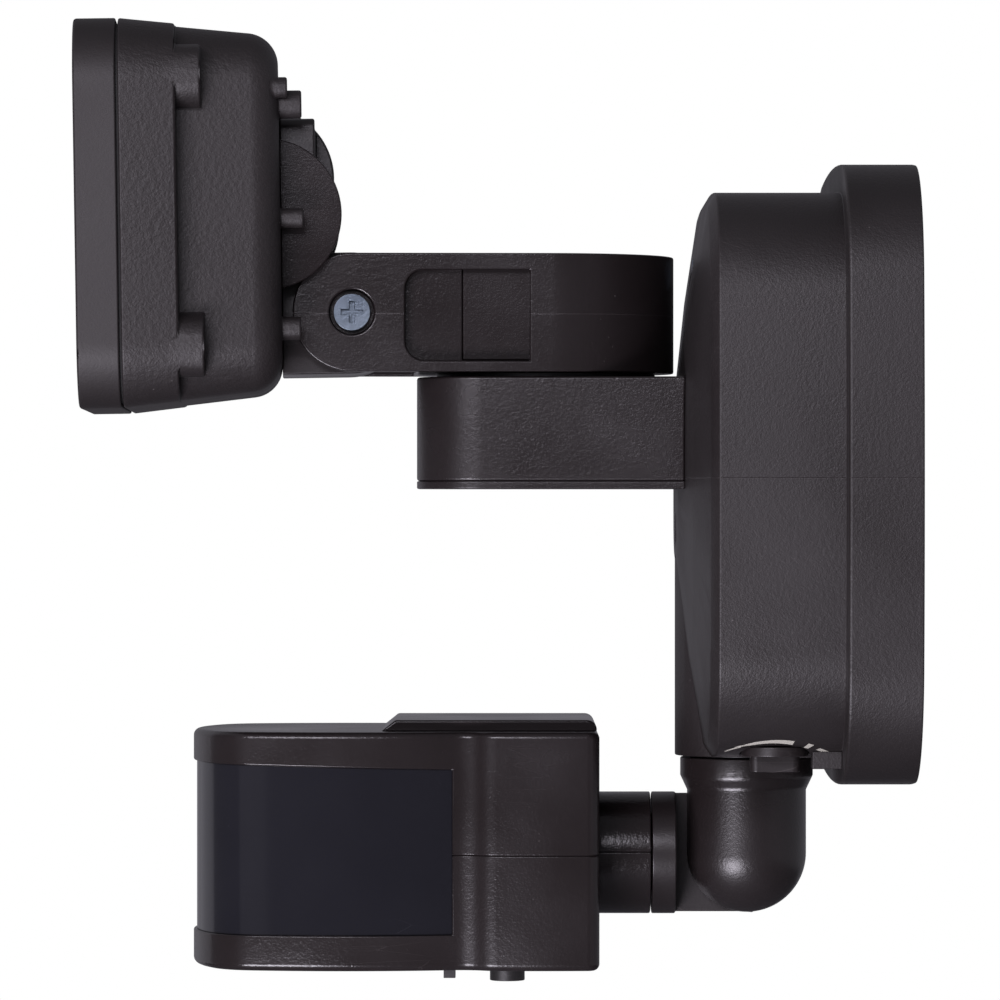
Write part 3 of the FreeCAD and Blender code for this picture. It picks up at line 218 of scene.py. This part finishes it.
def scuffGroup():
    # stray dust, and short fine scratches that catch the light
    group, given, out = startGroup("scuffs", [("Vector", "NodeSocketVector", None),
                                              ("Dust", "NodeSocketFloat", 0.5),
                                              ("Scratches", "NodeSocketFloat", 0.5)],
                                   [("Mask", "NodeSocketFloat")])
    cells = addNode(group, "ShaderNodeTexVoronoi", {"Vector": given.outputs[0], "Scale": 420.0})
    speck = addNode(group, "ShaderNodeMapRange", {0: cells.outputs["Distance"], 1: 0.03, 2: 0.09, 3: 1.0, 4: 0.0})
    patch = addNode(group, "ShaderNodeTexNoise", {"Vector": given.outputs[0], "Scale": 70.0, "Detail": 3.0})
    here = addNode(group, "ShaderNodeMapRange", {0: patch.outputs[0], 1: 0.6, 2: 0.72})
    dust = addNode(group, "ShaderNodeMath", {0: speck.outputs[0], 1: here.outputs[0]}, operation="MULTIPLY")
    dusty = addNode(group, "ShaderNodeMath", {0: dust.outputs[0], 1: given.outputs[1]}, operation="MULTIPLY")
    turned = addNode(group, "ShaderNodeMapping", {"Vector": given.outputs[0], "Rotation": (0.5, 0.7, 0.3),
                                                  "Scale": (1.0, 9.0, 9.0)})
    lines = addNode(group, "ShaderNodeTexVoronoi", {"Vector": turned.outputs[0], "Scale": 46.0},
                    feature="DISTANCE_TO_EDGE")
    thin = addNode(group, "ShaderNodeMapRange", {0: lines.outputs["Distance"], 1: 0.0, 2: 0.011, 3: 1.0, 4: 0.0})
    rare = addNode(group, "ShaderNodeTexNoise", {"Vector": given.outputs[0], "Scale": 31.0, "Detail": 1.0})
    where = addNode(group, "ShaderNodeMapRange", {0: rare.outputs[0], 1: 0.62, 2: 0.70})
    scratch = addNode(group, "ShaderNodeMath", {0: thin.outputs[0], 1: where.outputs[0]}, operation="MULTIPLY")
    scratchy = addNode(group, "ShaderNodeMath", {0: scratch.outputs[0], 1: given.outputs[2]}, operation="MULTIPLY")
    both = addNode(group, "ShaderNodeMath", {0: dusty.outputs[0], 1: scratchy.outputs[0]}, operation="MAXIMUM")
    group.links.new(both.outputs[0], out.inputs[0])
    return group


groups = {"grain": mouldGrainGroup(), "seam": seamGroup(), "scuffs": scuffGroup()}


def useGroup(tree, name, inputs):
    made = tree.nodes.new("ShaderNodeGroup")
    made.node_tree = groups[name]
    for key, value in inputs.items():
        if isinstance(value, bpy.types.NodeSocket):
            tree.links.new(value, made.inputs[key])
        else:
            made.inputs[key].default_value = value
    return made


def startFinish(name, roughness, metallic=0.0, specular=0.5):
    made = bpy.data.materials.new(name)
    made.use_nodes = True
    tree = made.node_tree
    shader = tree.nodes["Principled BSDF"]
    shader.inputs["Roughness"].default_value = roughness
    shader.inputs["Metallic"].default_value = metallic
    shader.inputs["Specular IOR Level"].default_value = specular
    place = addNode(tree, "ShaderNodeTexCoord").outputs["Object"]
    return made, tree, shader, place


def mixColour(tree, factor, a, b):
    made = addNode(tree, "ShaderNodeMix", data_type="RGBA")
    for index, value in ((0, factor), (6, a), (7, b)):
        if isinstance(value, bpy.types.NodeSocket):
            tree.links.new(value, made.inputs[index])
        else:
            made.inputs[index].default_value = value
    return made.outputs[2]


bronze = {
    "dark": (0.0098, 0.0074, 0.0074, 1),
    "light": (0.0136, 0.0108, 0.0111, 1),
    "scuff": (0.16, 0.145, 0.14, 1),
    # painted highlight: the mould line is coloured lighter to stand in for the light its ridge catches
    "seamHighlightColour": (0.055, 0.047, 0.047, 1),
    "roughLow": 0.40,
    "roughHigh": 0.52,
    "bump": 0.00006,
}


def bronzeFinish(name, grain=1900.0, coarse=0.5, bump=1.0, seams=(), dust=0.5, scratches=0.4, rough=0.0,
                 specular=0.5):
    made, tree, shader, place = startFinish(name, 0.46, specular=specular)
    texture = useGroup(tree, "grain", {"Vector": place, "Grain": grain, "Coarse": coarse})
    marks = useGroup(tree, "scuffs", {"Vector": place, "Dust": dust, "Scratches": scratches})
    colour = mixColour(tree, texture.outputs["Tone"], bronze["dark"], bronze["light"])
    height = texture.outputs["Height"]
    for axis, spot, width in seams:
        line = useGroup(tree, "seam", {"Vector": place, "Axis": axis, "Place": spot, "Width": width})
        # the mould line's ridge is a real bump; its lighter colour is a painted highlight along it
        seamHighlightMix = addNode(tree, "ShaderNodeMath", {0: line.outputs[0], 1: 0.55}, operation="MULTIPLY")
        colour = mixColour(tree, seamHighlightMix.outputs[0], colour, bronze["seamHighlightColour"])
        high = addNode(tree, "ShaderNodeMath", {0: line.outputs[0], 1: 1.6}, operation="MULTIPLY")
        height = addNode(tree, "ShaderNodeMath", {0: height, 1: high.outputs[0]}, operation="ADD").outputs[0]
    colour = mixColour(tree, marks.outputs["Mask"], colour, bronze["scuff"])
    tree.links.new(colour, shader.inputs["Base Color"])
    sheen = addNode(tree, "ShaderNodeMapRange", {0: texture.outputs["Tone"], 3: bronze["roughLow"] + rough,
                                                 4: bronze["roughHigh"] + rough})
    tree.links.new(sheen.outputs[0], shader.inputs["Roughness"])
    bumpNode = addNode(tree, "ShaderNodeBump", {"Height": height, "Distance": bronze["bump"] * bump,
                                                "Strength": 1.0})
    tree.links.new(bumpNode.outputs[0], shader.inputs["Normal"])
    return made


def plainFinish(name, dark, light, roughness, metallic=0.0, specular=0.5, grain=1500.0, bump=0.00003, tone=1.0,
                dust=0.3, scratches=0.3, scuff=(0.3, 0.3, 0.3, 1)):
    made, tree, shader, place = startFinish(name, roughness, metallic, specular)
    texture = useGroup(tree, "grain", {"Vector": place, "Grain": grain, "Coarse": 0.4})
    marks = useGroup(tree, "scuffs", {"Vector": place, "Dust": dust, "Scratches": scratches})
    colour = mixColour(tree, texture.outputs["Tone"], dark, light)
    colour = mixColour(tree, marks.outputs["Mask"], colour, scuff)
    tree.links.new(colour, shader.inputs["Base Color"])
    spread = addNode(tree, "ShaderNodeMapRange", {0: texture.outputs["Tone"], 3: roughness - 0.06 * tone,
                                                  4: roughness + 0.06 * tone})
    tree.links.new(spread.outputs[0], shader.inputs["Roughness"])
    bumpNode = addNode(tree, "ShaderNodeBump", {"Height": texture.outputs["Height"], "Distance": bump})
    tree.links.new(bumpNode.outputs[0], shader.inputs["Normal"])
    return made


finishes = {
    "bronze": bronzeFinish("bronzeCoat"),
    "canopyBronze": bronzeFinish("canopyBronze", grain=2700, bump=1.15, seams=[((0, 0, 1), -0.0008, 0.00013)], rough=0.01,
                                 scratches=0.12),
    "armBronze": bronzeFinish("armBronze", grain=2300, bump=0.6, seams=[((0, 0, 1), 0.0347, 0.0001)], rough=-0.23,
                              scratches=0.2),
    "recessBronze": bronzeFinish("recessBronze", grain=2300, bump=0.6, rough=-0.27, scratches=0.1),
    "coreBronze": bronzeFinish("coreBronze", grain=2300, bump=0.6, rough=-0.24, scratches=0.1, specular=0.36),
    "discBronze": bronzeFinish("discBronze", grain=2600, bump=0.35, rough=-0.27, scratches=0.2, specular=0.3),
    "lowArmBronze": bronzeFinish("lowArmBronze", grain=3000, bump=0.9, rough=-0.20, scratches=0.1),
    "sensorBronze": bronzeFinish("sensorBronze", grain=2100, bump=0.8, rough=-0.24, scratches=0.1,
                                 specular=0.42),
    "elbowBronze": bronzeFinish("elbowBronze", grain=2900, bump=0.7, rough=-0.16, scratches=0.1),
    "lampBronze": bronzeFinish("lampBronze", grain=2500, coarse=0.8, bump=1.5, rough=0.05, scratches=0.1),
    "bezelBronze": bronzeFinish("bezelBronze", grain=2200, bump=0.6, rough=0.10, scratches=0.1),
    "smoothBronze": bronzeFinish("smoothBronze", grain=2600, bump=0.35, rough=-0.14),
    "glossBronze": bronzeFinish("glossBronze", grain=2600, bump=0.2, rough=-0.27, scratches=0.1, specular=0.3),
    "dark_plastic": plainFinish("darkPlastic", (0.012, 0.011, 0.011, 1), (0.018, 0.017, 0.017, 1), 0.45),
    "rubber": plainFinish("rubberSeal", (0.012, 0.012, 0.012, 1), (0.022, 0.022, 0.022, 1), 0.8, bump=0.00006),
    "zinc_steel": plainFinish("zincSteel", (0.10, 0.125, 0.155, 1), (0.27, 0.32, 0.37, 1), 0.36, 1.0, grain=2600,
                              bump=0.00004, scuff=(0.10, 0.10, 0.10, 1)),
    "aluminium": plainFinish("castAluminium", (0.62, 0.62, 0.64, 1), (0.72, 0.72, 0.74, 1), 0.36, 1.0),
    "board": plainFinish("boardGreen", (0.012, 0.075, 0.03, 1), (0.02, 0.11, 0.045, 1), 0.35),
    "reflector": plainFinish("reflectorWhite", (0.70, 0.71, 0.72, 1), (0.78, 0.79, 0.80, 1), 0.3),
    "led": plainFinish("ledPhosphor", (0.75, 0.52, 0.10, 1), (0.85, 0.66, 0.18, 1), 0.35, bump=0.00001),
    "sensor_can": plainFinish("nickelCan", (0.55, 0.54, 0.50, 1), (0.66, 0.65, 0.62, 1), 0.3, 1.0),
}


def glassFinish():
    made, tree, shader, place = startFinish("clearGlass", 0.02)
    shader.inputs["Base Color"].default_value = (0.93, 0.97, 0.96, 1)
    shader.inputs["Transmission Weight"].default_value = 1.0
    shader.inputs["IOR"].default_value = 1.5
    marks = useGroup(tree, "scuffs", {"Vector": place, "Dust": 0.6, "Scratches": 0.5})
    spread = addNode(tree, "ShaderNodeMapRange", {0: marks.outputs["Mask"], 3: 0.02, 4: 0.35})
    tree.links.new(spread.outputs[0], shader.inputs["Roughness"])
    return made


def lensFinish():
    made, tree, shader, place = startFinish("smokyLens", 0.12, specular=0.42)
    marks = useGroup(tree, "scuffs", {"Vector": place, "Dust": 0.5, "Scratches": 0.12})
    wave = addNode(tree, "ShaderNodeTexNoise", {"Vector": place, "Scale": 55.0, "Detail": 1.0})
    tone = mixColour(tree, wave.outputs[0], (0.006, 0.006, 0.0085, 1), (0.0095, 0.0095, 0.0125, 1))
    colour = mixColour(tree, marks.outputs["Mask"], tone, (0.07, 0.07, 0.08, 1))
    tree.links.new(colour, shader.inputs["Base Color"])
    spread = addNode(tree, "ShaderNodeMapRange", {0: marks.outputs["Mask"], 3: 0.11, 4: 0.4})
    tree.links.new(spread.outputs[0], shader.inputs["Roughness"])
    bumpNode = addNode(tree, "ShaderNodeBump", {"Height": wave.outputs[0], "Distance": 0.00004})
    tree.links.new(bumpNode.outputs[0], shader.inputs["Normal"])
    return made


finishes["glass"] = glassFinish()
finishes["lens"] = lensFinish()
print("finishes ready:", len(finishes))

edgeSizes = {
    "canopy_shell": 0.35, "catch_tab": 0.25, "dial_knob": 0.25, "low_arm": 0.6, "low_arm_cover": 0.3,
    "swivel_arm": 0.4, "arm_core": 0.3, "lamp_housing": 0.5, "lamp_bezel": 0.4, "driver_cover": 0.5,
    "side_discs": 0.3, "lamp_knuckle": 0.35, "elbow": 0.35, "sensor_knuckle": 0.3, "neck_clip": 0.15,
    "sensor_upper": 0.35, "sensor_lower": 0.35, "sensor_cover": 0.3, "pir_lens": 0.12, "range_knob": 0.2,
    "mode_slider": 0.15, "tilt_screw": 0.1, "bezel_screws": 0.12, "cover_screws": 0.1, "canopy_screws": 0.12,
    "shell_screws": 0.1, "swivel_washer": 0.15, "wall_gasket": 0.2, "wire_grommet": 0.3, "back_plate": 0.2,
    "reflector": 0.2, "front_glass": 0.2, "knee_screw": 0.1, "led_chips": 0.08,
}
finishOf = {
    "canopy_shell": "canopyBronze", "swivel_arm": "armBronze", "lamp_housing": "lampBronze",
    "lamp_bezel": "bezelBronze", "sensor_upper": "sensorBronze", "sensor_lower": "sensorBronze",
    "elbow": "elbowBronze", "low_arm": "lowArmBronze", "low_arm_cover": "lowArmBronze",
    "driver_cover": "smoothBronze", "lamp_knuckle": "smoothBronze", "sensor_knuckle": "smoothBronze",
    "side_discs": "discBronze", "sensor_cover": "glossBronze", "arm_core": "coreBronze",
    "dial_knob": "smoothBronze",
}


def softCopy(node, width, segments=3):
    bm = bmesh.new()
    bm.from_mesh(frame["nodes"][node].data)
    solid = BVHTree.FromBMesh(bm)
    bmesh.ops.remove_doubles(bm, verts=bm.verts, dist=2e-6)
    bmesh.ops.dissolve_limit(bm, angle_limit=math.radians(0.05), use_dissolve_boundaries=False,
                             verts=bm.verts, edges=bm.edges)
    sharp = [e for e in bm.edges if len(e.link_faces) == 2 and e.calc_face_angle(0) > math.radians(32)
             and min(f.calc_area() for f in e.link_faces) > 4e-9]
    bmesh.ops.bevel(bm, geom=sharp, offset=width / 1000, offset_type="OFFSET", affect="EDGES",
                    segments=segments, profile=0.5, material=-1, clamp_overlap=False)
    # a corner that the bevel pushed off the solid goes back onto it
    for v in bm.verts:
        near, normal, index, far = solid.find_nearest(v.co)
        if (v.co - near).dot(normal) > 2e-6 or far > 0.6 * width / 1000:
            v.co = near
    bmesh.ops.remove_doubles(bm, verts=bm.verts, dist=1e-6)
    for face in bm.faces:
        face.smooth = True
    for e in bm.edges:
        e.smooth = len(e.link_faces) == 2 and e.calc_face_angle(0) < math.radians(38)
    mesh = bpy.data.meshes.new(node + "Skin")
    bm.to_mesh(mesh)
    bm.free()
    piece = bpy.data.objects.new(node + "Skin", mesh)
    bpy.context.scene.collection.objects.link(piece)
    mesh.materials.append(finishes[finishOf.get(node, slotOf[node])])
    even = piece.modifiers.new("evenShading", "WEIGHTED_NORMAL")
    even.keep_sharp = True
    even.weight = 60
    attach(piece, bodyOf[node])
    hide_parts(node)
    return piece


skins = {}
for node, width in edgeSizes.items():
    skins[node] = softCopy(node, width)
print("softened pieces:", len(skins))

recess = {
    # the arm's pivot and stored turn, and the box that holds the floor and walls of each side window
    "pivot": (-0.0788, 0.0),
    "turn": math.radians(2.0),
    "along": (-0.0317, -0.0045),
    "across": (0.0240, 0.0279),
    "height": (0.0242, 0.0445),
}


def paintRecess():
    # the sunk windows of the arm have a smoother, darker coat, and no mould line
    mesh = skins["swivel_arm"].data
    mesh.materials.append(finishes["recessBronze"])
    back = Matrix.Rotation(-recess["turn"], 3, "Z")
    for face in mesh.polygons:
        spot = back @ (face.center - Vector((*recess["pivot"], 0)))
        inside = recess["along"][0] < spot.x < recess["along"][1]
        sunk = recess["across"][0] < abs(spot.y) < recess["across"][1]
        if inside and sunk and recess["height"][0] < spot.z < recess["height"][1]:
            face.material_index = 1


paintRecess()

dialPrint = {
    "centre": (-0.0303, -0.0343),
    "radius": 0.0137,
    "ink": (0.34, 0.33, 0.29, 1),
    # first angle, last angle, first width, last width; angles run from the arm side round the front
    "band": (219, 286, 0.0003, 0.0015),
    "ticks": [(298.5, 303.5, 0.0021, 0.0021), (312, 329, 0.0013, 0.0013)],
}
finishes["ink"] = plainFinish("dialInk", dialPrint["ink"], (0.40, 0.39, 0.34, 1), 0.5, grain=2600)


def printedBand(name, start, end, startWidth, endWidth, steps=40):
    # a thin printed band laid on the canopy's underside, found by looking up from below
    canopy = BVHTree.FromObject(skins["canopy_shell"], bpy.context.evaluated_depsgraph_get())
    bm = bmesh.new()
    bmesh.ops.create_grid(bm, x_segments=steps, y_segments=2, size=0.5)
    middle = Vector((*dialPrint["centre"], 0))
    for v in bm.verts:
        share = v.co.x + 0.5
        angle = math.radians(start + (end - start) * share)
        reach = dialPrint["radius"] + v.co.y * (startWidth + (endWidth - startWidth) * share)
        spot = middle + Vector((math.cos(angle), math.sin(angle), 0)) * reach
        hit = canopy.ray_cast(spot + Vector((0, 0, -0.2)), Vector((0, 0, 1)))[0]
        v.co = (spot.x, spot.y, (hit.z if hit else -0.0616) - 0.00004)
    made = bmesh.ops.extrude_face_region(bm, geom=bm.faces[:])
    raised = [v for v in made["geom"] if isinstance(v, bmesh.types.BMVert)]
    bmesh.ops.translate(bm, verts=raised, vec=(0, 0, 0.00012))
    bmesh.ops.recalc_face_normals(bm, faces=bm.faces)
    mesh = bpy.data.meshes.new(name)
    bm.to_mesh(mesh)
    bm.free()
    mesh.materials.append(finishes["ink"])
    piece = bpy.data.objects.new(name, mesh)
    bpy.context.scene.collection.objects.link(piece)
    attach(piece, bodyOf["canopy_shell"])


bpy.context.view_layer.update()
printedBand("dialBand", *dialPrint["band"])
for index, tick in enumerate(dialPrint["ticks"]):
    printedBand("dialTick" + str(index), *tick, steps=6)
print("dial marks printed")


for name, obj in frame["nodes"].items():
    if name in skins:
        continue
    obj.data.materials.clear()
    obj.data.materials.append(finishes[finishOf.get(name, slotOf[name])])
print("plain pieces finished")
